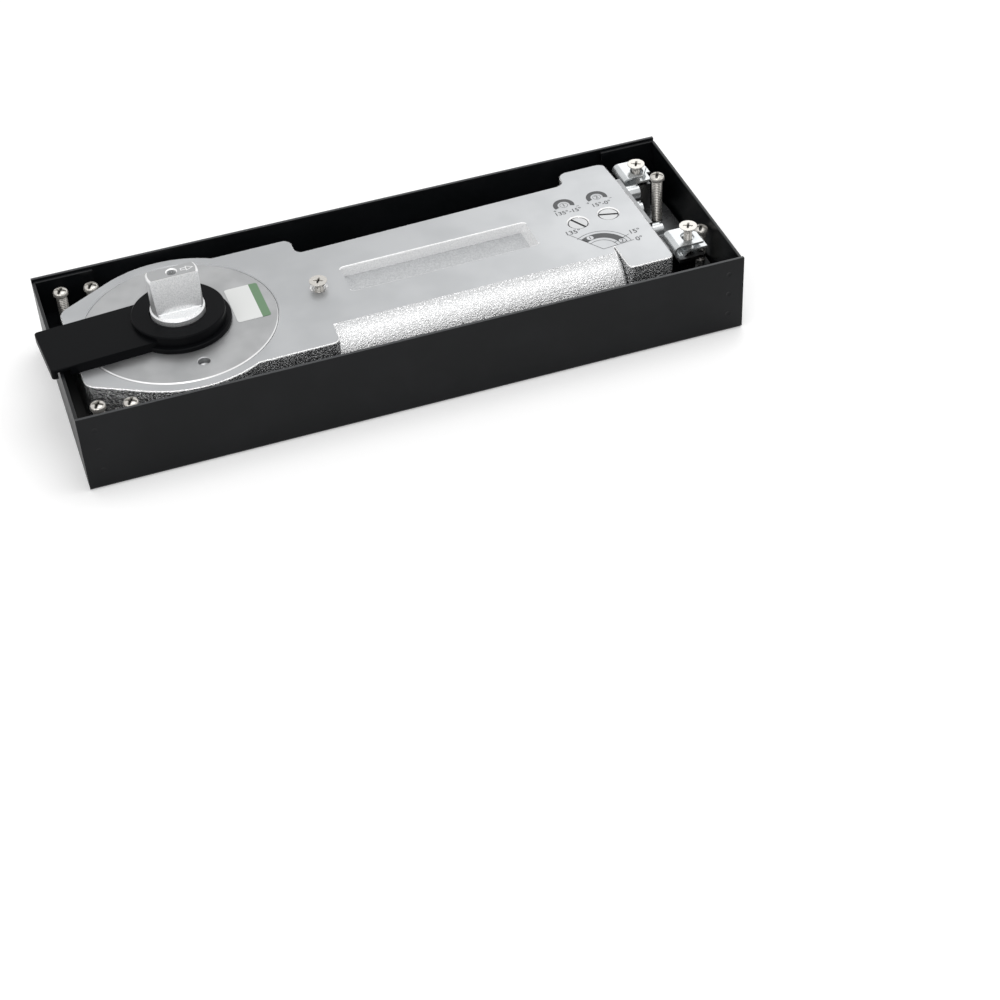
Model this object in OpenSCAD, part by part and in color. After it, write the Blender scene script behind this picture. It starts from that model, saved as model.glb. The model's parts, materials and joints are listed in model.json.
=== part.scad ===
// Floor spring door closer: a cast closer body, with its cam, spring and damper inside,
// standing in an open sheet-steel floor case.
// Millimetres. +X runs along the case towards the speed valves, +Y to the rear, +Z up.
// The origin lies on the spindle axis, on the underside of the case.

/* [Case] */
// Outside length of the floor case
case_l = 306; // [300:1:320]
// Outside width of the floor case
case_w = 110; // [108:0.5:120]
// Outside height of the floor case
case_h = 39.5; // [38.8:0.1:46]
// Sheet thickness of the case
case_wall = 1.5; // [1:0.1:2]
// Distance from the left outer face to the spindle axis
spindle_inset = 57.3; // [56:0.1:62]
// Turn of the case about the spindle, within its play round the closer
case_turn = -1.05; // [-1.2:0.05:1.2]
// How far the end walls stop short of the long walls' rim
end_drop = 1.2; // [0.5:0.1:3]
// Length of the flaps folded along the long walls
flap_l = 28; // [20:1:40]
// Diameter of the spot-weld dimples
weld_d = 3; // [2:0.1:4]
// Depth of the spot-weld dimples
weld_depth = 0.3; // [0.1:0.05:0.6]

/* [Body casting] */
// Height of the cast body
body_h = 35; // [34:0.5:37]
// Room between the round head and the long walls of the case
side_room = 4.3; // [3.5:0.1:5]
// Distance from the spindle axis to the flat end of the nose
nose_reach = 49.2; // [48:0.2:52]
// How far the nose's corner centres stand in from the sides of the head
nose_taper = 24.7; // [21:0.1:29]
// Corner radius of the nose
nose_r = 7; // [4:0.5:9]
// Half width of the square shoulder behind the head
shoulder_half = 42.3; // [41:0.1:45]
// Distance from the spindle axis to the end of the shoulder
shoulder_x = 62.5; // [60:0.5:66]
// Room between the body and the right end of the case
end_room = 27.7; // [26:0.1:30]
// Rear edge of the waist, next to the shoulder
waist_y0 = 30; // [29:0.2:34]
// Rear edge of the waist, next to the rear lobe
waist_y1 = 33; // [30:0.2:36]
// Length of the rear lobe along the body
lobe_l = 25; // [20:0.5:30]
// Half width over the two lobes at the right end
lobe_half = 42.3; // [41:0.1:45]
// Slant of the rear lobe's right edge
lobe_slant = 1; // [0:0.5:5]
// Outside radius of the spring cylinder
spring_tube_r = 18; // [17.5:0.1:19]
// Distance between the recess in the top face and the closing valve
pocket_gap = 22.8; // [16:0.1:40]
// Width of the recess in the top face
pocket_w = 19.2; // [12:0.2:22]
// Depth of the recess in the top face
pocket_depth = 5.5; // [3:0.5:5.5]

/* [Head cover] */
// Width of the casting's rim round the head cover
cover_rim = 5.2; // [4.4:0.1:6]
// Thickness of the head cover
cover_t = 7; // [6:0.5:7.5]
// Width of the ledge that the head cover seats on
cover_ledge = 2.5; // [2:0.1:3]
// Diameter of the pin-spanner holes
spanner_d = 5.2; // [4:0.1:6]
// Distance of the pin-spanner holes from the axis
spanner_reach = 31.9; // [28:0.1:36]
// Angle at which the screwed cover came to rest
cover_turn = 5.2; // [0:0.1:90]

/* [Spindle] */
// Diameter of the spindle's boss
boss_d = 24.5; // [22:0.1:25]
// Top of the boss above the body
boss_rise = 10; // [8:0.5:14]
// Height of the flattened drive block
block_h = 17.5; // [12:0.5:24]
// Thickness of the drive block at its foot
block_foot = 11.6; // [10:0.2:16]
// Thickness of the drive block at its top
block_top = 7.5; // [6.5:0.1:10]
// Diameter of the cam seat
seat_d = 18; // [16:0.5:19]
// Diameter of the lower journal
journal_d = 14; // [12:0.5:14.5]
// Diameter of the screw hole in the top
top_hole_d = 4.2; // [3:0.1:5]
// Depth of the screw hole in the top
top_hole_depth = 12; // [8:1:16]

/* [Cam and carriage] */
// Thickness of the heart cam
cam_t = 8; // [7:0.1:8.6]
// Radius of the cam in its notch
notch_r = 12.5; // [12:0.1:13]
// Room between the chamber wall and the cam's return roller
chamber_gap = 2.863; // [1.8:0.001:4]
// Widest opening angle of the door
open_angle = 135; // [90:1:135]
// Diameter of the two cam rollers
roller_d = 12; // [11:0.2:12.4]
// Diameter of the roller pins
pin_d = 5; // [4:0.2:6]
// Thickness of the carriage plates
plate_t = 2.4; // [2:0.1:2.8]
// Half width of the carriage plates
plate_half = 14.5; // [13.5:0.5:16]
// Thickness of the crosshead
crosshead_t = 8; // [6:0.5:9]

/* [Spring and damper] */
// Distance of the spring's axis in front of the spindle axis
spring_offset = 24.5; // [24:0.1:25]
// Diameter of the spring bore
spring_bore_d = 26; // [24:0.2:26.4]
// Wire diameter of the main spring
wire_d = 3.6; // [2.8:0.1:4]
// Number of turns of the main spring
spring_turns = 18; // [12:1:20]
// Distance of the damper's axis behind the spindle axis
damper_offset = 18; // [17.5:0.1:18.5]
// Diameter of the damper bore
damper_bore_d = 19; // [17:0.2:19.4]
// Length of the damper piston
piston_l = 28; // [24:1:34]
// Diameter of the check ball
ball_d = 4.8; // [4:0.1:5]

/* [Valves] */
// Distance of the latching-speed valve from the right end of the body
latching_in = 14.5; // [13:0.1:16]
// Distance between the two speed valves
valve_step = 15.7; // [14:0.1:18]
// Diameter of the valve screws' heads
valve_head_d = 9.4; // [8:0.1:9.6]
// Width of the screwdriver slots
slot_w = 1.2; // [0.8:0.1:1.6]
// Depth of the valve heads below the top face
valve_sink = 0.5; // [0.4:0.1:2]

/* [Fittings] */
// Thread diameter of the fixing and jack screws
screw_d = 5; // [4:0.1:5.4]
// Thread diameter of the cover screws
cover_screw_d = 4; // [3:0.1:4.6]
// Head diameter of the cover screws
cover_head_d = 8.3; // [7.6:0.1:9]
// Head diameter of the pan-head screws
pan_head_d = 7; // [6.6:0.1:7.4]
// Length of the pan-head screws' shanks in the left corners
corner_screw_l = 26; // [18:1:30]
// Sheet thickness of the brackets
bracket_t = 2; // [1.5:0.1:2.4]
// Sheet thickness of the cover clips
clip_t = 1; // [0.8:0.1:1.2]
// Length of the cover clips along the case
clip_l = 14.5; // [12:0.5:16]
// Width of the cover clips
clip_w = 14; // [12:0.5:15]
// Height of the cover clips over all
clip_h = 6.2; // [5:0.1:7]
// Height over the two legs of a cover clip
leg_h = 4; // [3.4:0.1:4.8]
// Distance of the end clips' screws from the body
clip_out = 11.7; // [11.4:0.1:12.4]
// Half the distance between the end clips' screws
clip_y = 30.6; // [30.4:0.1:32]

/* [Slot filler] */
// Outside radius of the filler's raised collar
collar_r = 21; // [19:0.2:22]
// Height of the raised collar above the body
collar_h = 7; // [5:0.2:8]
// Outside radius of the filler's foot ring
foot_r = 23.3; // [22.5:0.1:26]
// Thickness of the foot ring
foot_t = 2; // [1.5:0.1:2.5]
// Width of the filler tongue
tongue_w = 31; // [28:0.5:34]
// Thickness of the tongue's top
tongue_t = 1.5; // [1:0.1:2]
// How far the tongue overhangs the case
tongue_over = 4.8; // [3:0.1:8]
// Angle at which the loose filler lies
filler_turn = 3; // [0:0.5:4]
// Width of the label across the closer
label_w = 26; // [20:0.5:28]
// Width of the label along the closer
label_l = 15.3; // [12:0.1:17]

/* [Hidden] */
$fn = 48;

// clearances
run_gap = 0.05;      // shaft in its bush, piston in its bore
roll_gap = 0.15;     // roller to cam
side_gap = 0.3;      // moving plates beside still or turning ones
screw_gap = 0.1;     // a screwed plug in its thread
cut = 1;             // how far a cut runs past a face

// case
x_left = -spindle_inset;
x_right = case_l - spindle_inset;
inner_y = case_w / 2 - case_wall;
end_top = case_h - end_drop;
bend_r = 2;
head_r = inner_y - side_room;
weld_inset = 7.2;
weld_zs = [10, 21, 32];

// body
body_z = case_wall;
body_top = body_z + body_h;
mech_z = body_z + body_h / 2;
chamber_top = body_top - cover_t;
chamber_floor = body_z + 7;
cavity_x = 56;
cavity_half = 38;
cavity_top = chamber_top - 2.5;
body_x = x_right - end_room;
lobe_x = body_x - lobe_l;
edge_chamfer = 0.5;
nose_half = head_r - nose_taper;
shoulder_r = 4;
lobe_r = 5;
front_lobe_r = 3;
slant_y = 20;
tube_root = 10;
pocket_y = 1.2;
pocket_r = 2;
pocket_draft = 2;
tube_end = body_x - 22;
tube_round = 2.5;

// head cover
cover_r = head_r - cover_rim;
chamber_r = cover_r - cover_ledge;
cover_boss_r = 18;
cover_boss_z = chamber_top - 2.5;
thread_gap = 0.2;
bush_wall = 2;
seal_h = 3.2;
seal_r = 16.5;
rabbet = 1.7;

// spindle
boss_r = boss_d / 2;
boss_top = body_top + boss_rise;
boss_bevel = 1.2;
block_z = boss_top + block_h;
block_r = boss_r - 0.7;
block_bevel = 0.9;
block_step = 0.5;
foot_half = block_foot / 2;
seat_r = seat_d / 2;
bearing_z = body_z + 2;
bearing_h = chamber_floor - bearing_z;
bearing_r = 12;
race = 1.6;
ball_track = (journal_d / 2 + bearing_r) / 2;
race_ball = (bearing_r - journal_d / 2 - 2 * race) / 2 + 0.7;
ball_count = 9;
key_w = 4;

// cam and carriage
roller_r = roller_d / 2;
pitch_r = notch_r + roller_r;
full_lift = chamber_r - chamber_gap - notch_r - roller_d;
lift = full_lift / PI; // lift of the cam per radian of spindle turn
travel = lift * open_angle * PI / 180;
drive_x = pitch_r;
return_x = -(pitch_r + full_lift);
roller_h = cam_t - 0.4;
plate_gap = cam_t + 2 * side_gap;
slot_half = seat_r + side_gap;
plate_z = mech_z - plate_gap / 2 - plate_t;
crosshead_x = pitch_r + roller_r + 5.5;
crosshead_h = plate_gap;
plate_edge = 3.8;
tail_half = pin_d / 2 + plate_edge;
rivet_d = 4;

// spring and damper
spring_r = spring_bore_d / 2;
damper_r = damper_bore_d / 2;
rod_start = crosshead_x + crosshead_t;
seat_x = cavity_x + 6;
spring_seat_t = 6;
cap_l = 16;
spring_cap_x = body_x - cap_l;
cap_thread = 0.7;
damper_cap_l = 12;
damper_cap_x = body_x - damper_cap_l;
spring_start = seat_x + spring_seat_t + 0.1;
spring_end = spring_cap_x - 0.1;
spring_mean_r = spring_r - wire_d / 2 - 0.5;
piston_x = cavity_x + 10;
piston_r = damper_r - run_gap;
check_l = 10;
gallery_y = -1.5;
gallery_z = mech_z - 5.5;
gallery_r = 2;

cover_screw_at = [64.5, 0];

// valves: [distance along the case, distance to the rear]
latching = [body_x - latching_in, 1.7];
closing = [latching.x - valve_step, 0.5];
valve_bore_r = 3.6;
valve_floor = mech_z - 7;
valve_seal_z = mech_z + 9;
valve_seal_r = 0.48;

// recess in the top face
pocket_x = cover_screw_at.x + 13;
pocket_l = closing.x - pocket_gap - pocket_x;

// fittings
cover_screw_l = 18;
centre_proud = 4;
rear_proud = 3.5;
front_proud = 6.5;
clip_x = body_x + clip_out;
clip_back = 1.8;
hole_r = cover_screw_d / 2 + 0.8;
clip_play = 1.4;
clip_crop = [4, 6];  // cropped inner corner of the upper leg
clip_shift = [-1.4, 1.2];  // how far each clip has slid outwards, front and rear
leg_over = 2;
jack_at = [[body_x + 16.6, 16.5, 41], [body_x + 22, -22.1, 34]];
bracket_z = 14;
bracket_x = x_right - case_wall - 1.2;
ear_x0 = clip_x - 7;
ear_x1 = clip_x + 5.5;
ear_y = clip_y - screw_d / 2 - 0.3;
clip_top = body_top - 0.2;
leg_z = clip_top - leg_h;
tab_z = clip_top - clip_h;
tab_out = 7.2;
window_z = bracket_z + bracket_t + 5;
// bracket screws: distance to the rear, height, height of the head
bracket_screw_at = [[-8.6, 28.2, 6.2], [8.5, 30, 3.2], [19.8, 31.8, 6.2]];
bracket_screw_l = 9;
bracket_head_r = 3.4;
corner_screw_at = [[x_left + 11.3, inner_y - 9.5], [x_left + 25.3, inner_y - 8.5]];
corner_plate_z = case_wall + 16.5;
corner_plate_l = 27.8;
corner_plate_w = 14;
corner_crop = 11;
corner_foot_h = 12;

// label
label_at = [23.9, -11];
label_t = 0.15;

function dir(a) = [cos(a), sin(a)];

// ---------- shared shapes ----------

// Rectangle with round corners
module round_rect(x0, y0, x1, y1, r) {
  translate([x0 + r, y0]) square([x1 - x0 - 2 * r, y1 - y0]);
  translate([x0, y0 + r]) square([x1 - x0, y1 - y0 - 2 * r]);
  for (x = [x0 + r, x1 - r], y = [y0 + r, y1 - r]) translate([x, y]) circle(r);
}

// Outline of a flat belt round two circles
module belt(a, ra, b, rb) {
  along = atan2(b.y - a.y, b.x - a.x);
  lean = acos((ra - rb) / norm(b - a));
  polygon([a + ra * dir(along + lean), a + ra * dir(along - lean),
           b + rb * dir(along - lean), b + rb * dir(along + lean)]);
  translate(a) circle(ra);
  translate(b) circle(rb);
}

// Round bar lying along +X
module bar_x(x0, x1, r) {
  translate([x0, 0, 0]) rotate([0, 90, 0]) cylinder(h = x1 - x0, r = r);
}

// Flat ring standing on z = 0
module ring(r_out, r_in, h) {
  difference() {
    cylinder(h = h, r = r_out);
    translate([0, 0, -cut]) cylinder(h = h + 2 * cut, r = r_in);
  }
}

// Rubber ring about +Z
module o_ring(r_mid, r_section) {
  rotate_extrude() translate([r_mid, 0]) circle(r_section, $fn = 24);
}

// Cross recess, cut downwards from z = 0
module cross_recess(w, depth) {
  for (a = [0, 90]) rotate(a) translate([-w / 2, -w / 8, -depth]) cube([w, w / 4, depth + cut]);
}

// Pan-head screw, its head standing on z = 0 and its shank below
module pan_screw(l, head_d) {
  head_h = head_d * 0.36;
  difference() {
    union() {
      cylinder(h = head_h / 2, r = head_d / 2);
      translate([0, 0, head_h / 2]) cylinder(h = head_h / 2, r1 = head_d / 2, r2 = head_d / 3);
      translate([0, 0, -l]) cylinder(h = l, r = screw_d / 2);
    }
    translate([0, 0, head_h]) cross_recess(head_d * 0.62, head_h * 0.6);
  }
}

// Countersunk screw with its flat top at z = 0
module flat_screw(l) {
  cone = (cover_head_d - cover_screw_d) / 2;
  difference() {
    union() {
      translate([0, 0, -cone]) cylinder(h = cone, r1 = cover_screw_d / 2, r2 = cover_head_d / 2);
      translate([0, 0, -l]) cylinder(h = l, r = cover_screw_d / 2);
    }
    cross_recess(cover_head_d * 0.5, 1.4);
  }
}

// Socket plug along +X from x = 0, its hexagon socket in the far face
module socket_plug(l, r, socket) {
  difference() {
    bar_x(0, l, r);
    translate([l - 5, 0, 0]) rotate([0, 90, 0]) cylinder(h = 5 + cut, r = socket, $fn = 6);
  }
}

// ---------- floor case ----------

// Long walls and floor, folded from one sheet
module case_channel() color("#1d1f22") rotate(case_turn) difference() {
  translate([x_left, 0, 0]) rotate([90, 0, 90]) linear_extrude(case_l) difference() {
    union() {
      round_rect(-case_w / 2, 0, case_w / 2, case_h, bend_r);
      translate([-case_w / 2, case_h / 2]) square([case_w, case_h / 2]);
    }
    round_rect(-inner_y, case_wall, inner_y, case_h + 2 * bend_r, bend_r - case_wall + 0.3);
  }
  for (x = [x_left + weld_inset, x_right - weld_inset], side = [-1, 1], z = weld_zs)
    translate([x, side * (case_w / 2 + weld_d - weld_depth), z]) sphere(weld_d);
}

// End wall with its two flaps along the long walls, open towards +X
module case_end() {
  translate([0, 0, case_wall]) linear_extrude(end_top - case_wall) difference() {
    round_rect(0, -inner_y, flap_l + bend_r, inner_y, bend_r);
    translate([case_wall, -inner_y + case_wall])
      square([flap_l + bend_r, 2 * (inner_y - case_wall)]);
    translate([flap_l, -case_w / 2]) square([bend_r + cut, case_w]);
  }
}
module case_end_left() color("#1d1f22") rotate(case_turn) translate([x_left, 0, 0]) case_end();
module case_end_right() color("#1d1f22") rotate(case_turn) translate([x_right, 0, 0])
  mirror([1, 0, 0]) case_end();

// ---------- cast body ----------

// Plan of the casting: nosed head, shoulder, waist and the two end lobes
module body_plan() {
  nose_x = nose_r - nose_reach;
  for (side = [-1, 1]) belt([0, 0], head_r, [nose_x, side * nose_half], nose_r);
  translate([-nose_reach, -nose_half]) square([nose_reach, 2 * nose_half]);
  round_rect(0, -shoulder_half, shoulder_x, shoulder_half, shoulder_r);
  // waist, with its slightly splayed rear edge
  polygon([[shoulder_x - tube_root, -spring_offset], [body_x, -spring_offset],
           [body_x, slant_y], [body_x - lobe_slant, waist_y1],
           [shoulder_x - tube_root, waist_y0]]);
  // rear lobe, its right edge slanting back
  intersection() {
    round_rect(lobe_x, 0, body_x, lobe_half, lobe_r);
    polygon([[0, 0], [body_x, 0], [body_x, slant_y],
             [body_x - lobe_slant, lobe_half + cut], [0, lobe_half + cut]]);
  }
  // front lobe
  round_rect(tube_end, -lobe_half, body_x, 0, front_lobe_r);
  // web fillets beside the shoulder and the rear lobe
  difference() {
    translate([shoulder_x - 1, waist_y0 - 1]) square(shoulder_r + 1);
    translate([shoulder_x + shoulder_r, waist_y0 + shoulder_r]) circle(shoulder_r);
  }
  difference() {
    translate([lobe_x - 3, waist_y1 - 2]) square([4, 5]);
    translate([lobe_x - 3, waist_y1 + 3]) circle(3);
  }
}

// One vertical valve bore with its cross drilling to the damper
module valve_bore(at) {
  translate([at.x, at.y, valve_floor]) cylinder(h = body_top - valve_floor + cut, r = valve_bore_r);
  translate([at.x, at.y, body_top - valve_sink - 3])
    cylinder(h = 3 + valve_sink + cut, r = valve_head_d / 2 + screw_gap);
  translate([at.x, at.y, body_top - edge_chamfer])
    cylinder(h = edge_chamfer + 0.01, r1 = valve_head_d / 2 + screw_gap,
             r2 = valve_head_d / 2 + screw_gap + edge_chamfer);
  translate([at.x, at.y, mech_z]) rotate([-90, 0, 0])
    cylinder(h = damper_offset - at.y, r = 1.5);
}

module body_casting() color("#b9bcbe") difference() {
  union() {
    translate([0, 0, body_z]) linear_extrude(body_h) body_plan();
    intersection() {
      translate([0, -spring_offset, mech_z]) {
        bar_x(shoulder_x - tube_root, tube_end - tube_round, spring_tube_r);
        bar_x(tube_end - tube_round - cut, tube_end + cut, spring_tube_r - tube_round);
        translate([tube_end - tube_round, 0, 0]) rotate([0, 90, 0]) rotate_extrude()
          translate([spring_tube_r - tube_round, 0]) intersection() {
            circle(tube_round);
            translate([0, -cut]) square(2 * tube_round);
          }
      }
      translate([0, -case_w / 2, body_z]) cube([tube_end + 2 * cut, case_w / 2, body_h]);
    }
  }
  // head: cover seat, cam chamber, crosshead cavity and lower bearing pocket
  translate([0, 0, chamber_top]) cylinder(h = cover_t + cut, r = cover_r);
  translate([0, 0, body_top - edge_chamfer])
    cylinder(h = 2 * edge_chamfer, r1 = cover_r, r2 = cover_r + 2 * edge_chamfer);
  translate([0, 0, chamber_floor]) cylinder(h = chamber_top - chamber_floor + cut, r = chamber_r);
  translate([0, -cavity_half, chamber_floor])
    cube([cavity_x, 2 * cavity_half, cavity_top - chamber_floor]);
  translate([0, 0, bearing_z]) cylinder(h = bearing_h + cut, r = bearing_r);
  // spring and damper cylinders, with their plug threads
  translate([0, -spring_offset, mech_z]) {
    bar_x(cavity_x - cut, body_x + cut, spring_r);
    bar_x(spring_cap_x, body_x + cut, spring_r + cap_thread);
  }
  translate([0, damper_offset, mech_z]) {
    bar_x(cavity_x - cut, body_x + cut, damper_r);
    bar_x(damper_cap_x, body_x + cut, damper_r + cap_thread);
  }
  // return gallery and the two valves
  translate([0, gallery_y, gallery_z]) {
    bar_x(cavity_x - cut, body_x + cut, gallery_r);
    bar_x(body_x - 8, body_x + cut, gallery_r + 1);
  }
  valve_bore(closing);
  valve_bore(latching);
  // recess in the top face, its end wall leaning out on the right
  intersection() {
    translate([0, 0, body_top - pocket_depth]) linear_extrude(pocket_depth + cut)
      round_rect(pocket_x, pocket_y - pocket_w / 2, pocket_x + pocket_l, pocket_y + pocket_w / 2,
                 pocket_r);
    translate([pocket_x, pocket_y + pocket_w / 2 + cut, body_top - pocket_depth])
      rotate([90, 0, 0]) linear_extrude(pocket_w + 2 * cut)
        polygon([[pocket_draft / 2, 0], [pocket_l - pocket_draft, 0], [pocket_l, pocket_depth],
                 [pocket_l, pocket_depth + cut], [0, pocket_depth + cut], [0, pocket_depth]]);
  }
  // threaded holes: cover screw in the top, bracket screws in the end
  translate([cover_screw_at.x, cover_screw_at.y, body_top]) {
    translate([0, 0, -15]) cylinder(h = 16, r = cover_screw_d / 2);
    translate([0, 0, -2.2])
      cylinder(h = 2.2 + cut, r1 = cover_screw_d / 2, r2 = cover_screw_d / 2 + 3.2);
  }
  for (at = bracket_screw_at) translate([0, at.x, at.y])
    bar_x(body_x - bracket_screw_l, body_x + cut, cover_screw_d / 2);
}

// Screwed cover with the upper bearing, four pin-spanner holes in its top
module head_cover() color("#b4b7ba") difference() {
  union() {
    translate([0, 0, chamber_top]) cylinder(h = cover_t - edge_chamfer, r = cover_r - thread_gap);
    translate([0, 0, body_top - edge_chamfer]) cylinder(
      h = edge_chamfer, r1 = cover_r - thread_gap, r2 = cover_r - thread_gap - edge_chamfer);
    translate([0, 0, cover_boss_z]) cylinder(h = 3, r = cover_boss_r);
  }
  translate([0, 0, cover_boss_z - cut]) cylinder(h = 20, r = boss_r + 0.3);
  translate([0, 0, cover_boss_z - cut])
    cylinder(h = body_top - seal_h - 0.3 - cover_boss_z + cut, r = boss_r + run_gap + bush_wall);
  translate([0, 0, body_top - seal_h]) cylinder(h = seal_h + cut, r = seal_r);
  translate([0, 0, chamber_top - cut]) difference() {
    cylinder(h = rabbet + cut, r = cover_r + cut);
    translate([0, 0, -cut]) cylinder(h = rabbet + 3 * cut, r = cover_r - thread_gap - rabbet);
  }
  for (a = [0 : 90 : 270]) rotate(a + cover_turn) translate([spanner_reach, 0, body_top - 3]) {
    cylinder(h = 4, r = spanner_d / 2);
    translate([0, 0, -spanner_d / 4])
      cylinder(h = spanner_d / 4 + 0.01, r1 = 0.1, r2 = spanner_d / 2);
  }
}

// Rubber ring in the rabbet under the cover's rim
module cover_seal() color("#26282a")
  translate([0, 0, chamber_top + rabbet / 2])
    o_ring(cover_r - thread_gap - rabbet / 2, rabbet / 2 - 0.02);

// Bronze bush for the boss of the spindle
module upper_bush() color("#b08a4c") translate([0, 0, cover_boss_z])
  ring(boss_r + run_gap + bush_wall, boss_r + run_gap, body_top - seal_h - 0.3 - cover_boss_z);

// Lip seal above the bush
module shaft_seal() color("#2b2d30") translate([0, 0, body_top - seal_h]) rotate_extrude()
  polygon([[boss_r + run_gap, 1], [boss_r + 0.9, 0], [seal_r, 0], [seal_r, seal_h - 0.2],
           [seal_r - 1, seal_h - 0.2], [seal_r - 1, 1], [boss_r + 1.2, 1], [boss_r + 1.2, 2.4],
           [boss_r + run_gap, 1.9]]);

// Lower ball bearing: outer ring, balls and inner ring
module ball_race(r_out, r_in) difference() {
  translate([0, 0, bearing_z]) ring(r_out, r_in, bearing_h);
  translate([0, 0, bearing_z + bearing_h / 2]) o_ring(ball_track, race_ball + run_gap);
}
module lower_bearing_ring() color("#a9acaf") ball_race(bearing_r, bearing_r - race);
module lower_bearing_cone() color("#a9acaf") ball_race(journal_d / 2 + race, journal_d / 2);
module lower_bearing_balls() color("#d0d2d4") for (i = [0 : ball_count - 1])
  rotate(i * 360 / ball_count) translate([ball_track, 0, bearing_z + bearing_h / 2])
    sphere(race_ball);

// ---------- spindle ----------

// Turned spindle: lower journal, cam seat, boss and the tapered drive block
module spindle() color("#c9cbcd") difference() {
  union() {
    translate([0, 0, bearing_z + 0.3]) cylinder(h = bearing_h, r = journal_d / 2);
    translate([0, 0, chamber_floor]) cylinder(h = cover_boss_z - chamber_floor, r = seat_r);
    translate([0, 0, cover_boss_z]) cylinder(h = boss_top - cover_boss_z - boss_bevel, r = boss_r);
    translate([0, 0, boss_top - boss_bevel])
      cylinder(h = boss_bevel, r1 = boss_r, r2 = boss_r - boss_bevel);
    intersection() {
      union() {
        translate([0, 0, boss_top - cut]) cylinder(h = block_h + cut - block_bevel, r = block_r);
        translate([0, 0, block_z - block_bevel])
          cylinder(h = block_bevel, r1 = block_r, r2 = block_r - block_bevel);
      }
      translate([-boss_r, 0, boss_top]) rotate([90, 0, 90]) linear_extrude(boss_d)
        polygon([[-foot_half - block_step, -cut], [foot_half + block_step, -cut],
                 [foot_half + block_step, block_step], [foot_half, block_step],
                 [block_top / 2, block_h], [-block_top / 2, block_h], [-foot_half, block_step],
                 [-foot_half - block_step, block_step]]);
    }
  }
  translate([0, 0, block_z - edge_chamfer])
    cylinder(h = 2 * edge_chamfer, r1 = top_hole_d / 2, r2 = top_hole_d / 2 + 2 * edge_chamfer);
  translate([0, 0, block_z - top_hole_depth])
    cylinder(h = top_hole_depth + cut, r = top_hole_d / 2);
  translate([-key_w / 2, seat_r - key_w / 2, mech_z - cam_t / 2 + 0.5])
    cube([key_w, key_w, cam_t - 1]);
}

// Key between spindle and cam
module cam_key() color("#8f9295")
  translate([-key_w / 2, seat_r - key_w / 2, mech_z - cam_t / 2 + 0.5])
    cube([key_w, key_w, cam_t - 1]);

// Heart cam. The roller's centre follows pitch_r + lift * |angle| (radians), so both rollers
// stay on the cam and the travel is proportional to the angle. The face is that path set in
// by the roller's radius, and the notch is the roller's own arc.
function cam_point(a) =
  let (r = pitch_r + lift * a * PI / 180, set_in = (roller_r + roll_gap) / norm([r, lift]))
  r * dir(a) - set_in * [r * cos(a) + lift * sin(a), r * sin(a) - lift * cos(a)];
notch_half = atan2(lift, pitch_r);
notch_arc = [for (i = [-3 : 3])
  [pitch_r, 0] - (roller_r + roll_gap) * [cos(i / 4 * notch_half), -sin(i / 4 * notch_half)]];
cam_upper = [for (a = [0 : 4 : 176]) cam_point(a)];
cam_nose = [-(pitch_r + full_lift - roller_r - roll_gap) + 0.35, 0];
module cam() color("#8d9093") difference() {
  translate([0, 0, mech_z - cam_t / 2]) linear_extrude(cam_t)
    polygon(concat(notch_arc, cam_upper, [cam_nose],
                   [for (i = [len(cam_upper) - 1 : -1 : 0]) [cam_upper[i].x, -cam_upper[i].y]]));
  translate([0, 0, mech_z - cam_t]) cylinder(h = 2 * cam_t, r = seat_r);
  translate([-key_w / 2, seat_r - key_w / 2, mech_z - cam_t / 2 + 0.5])
    cube([key_w, key_w, cam_t - 1]);
}

// ---------- carriage ----------

// Plate that carries the roller pins past the spindle, here with its underside at z = 0
module carriage_plate() difference() {
  linear_extrude(plate_t) difference() {
    union() {
      round_rect(return_x - tail_half, -tail_half, -travel, tail_half, tail_half - 1);
      round_rect(-travel - slot_half - plate_edge, -plate_half, rod_start, plate_half, plate_edge);
    }
    round_rect(-travel - slot_half, -slot_half, slot_half, slot_half, slot_half - 0.5);
  }
  for (x = [return_x, drive_x]) translate([x, 0, -cut])
    cylinder(h = plate_t + 2 * cut, r = pin_d / 2);
  for (side = [-1, 1]) translate([crosshead_x + crosshead_t / 2, side * (plate_half - 5), -cut])
    cylinder(h = plate_t + 2 * cut, r = rivet_d / 2);
}
module carriage_top_plate() color("#9a9da0")
  translate([0, 0, mech_z + plate_gap / 2]) carriage_plate();
module carriage_bottom_plate() color("#9a9da0")
  translate([0, 0, plate_z]) carriage_plate();

// Pins of the two rollers, flush with the plates
module roller_pins() color("#c4c6c8") for (x = [return_x, drive_x])
  translate([x, 0, mech_z - plate_gap / 2 - plate_t])
    cylinder(h = plate_gap + 2 * plate_t, r = pin_d / 2);

module roller(x) difference() {
  translate([x, 0, mech_z - roller_h / 2]) cylinder(h = roller_h, r = roller_r);
  translate([x, 0, mech_z - roller_h]) cylinder(h = 2 * roller_h, r = pin_d / 2 + run_gap);
}
module drive_roller() color("#d3d5d7") roller(drive_x);
module return_roller() color("#d3d5d7") roller(return_x);

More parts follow.
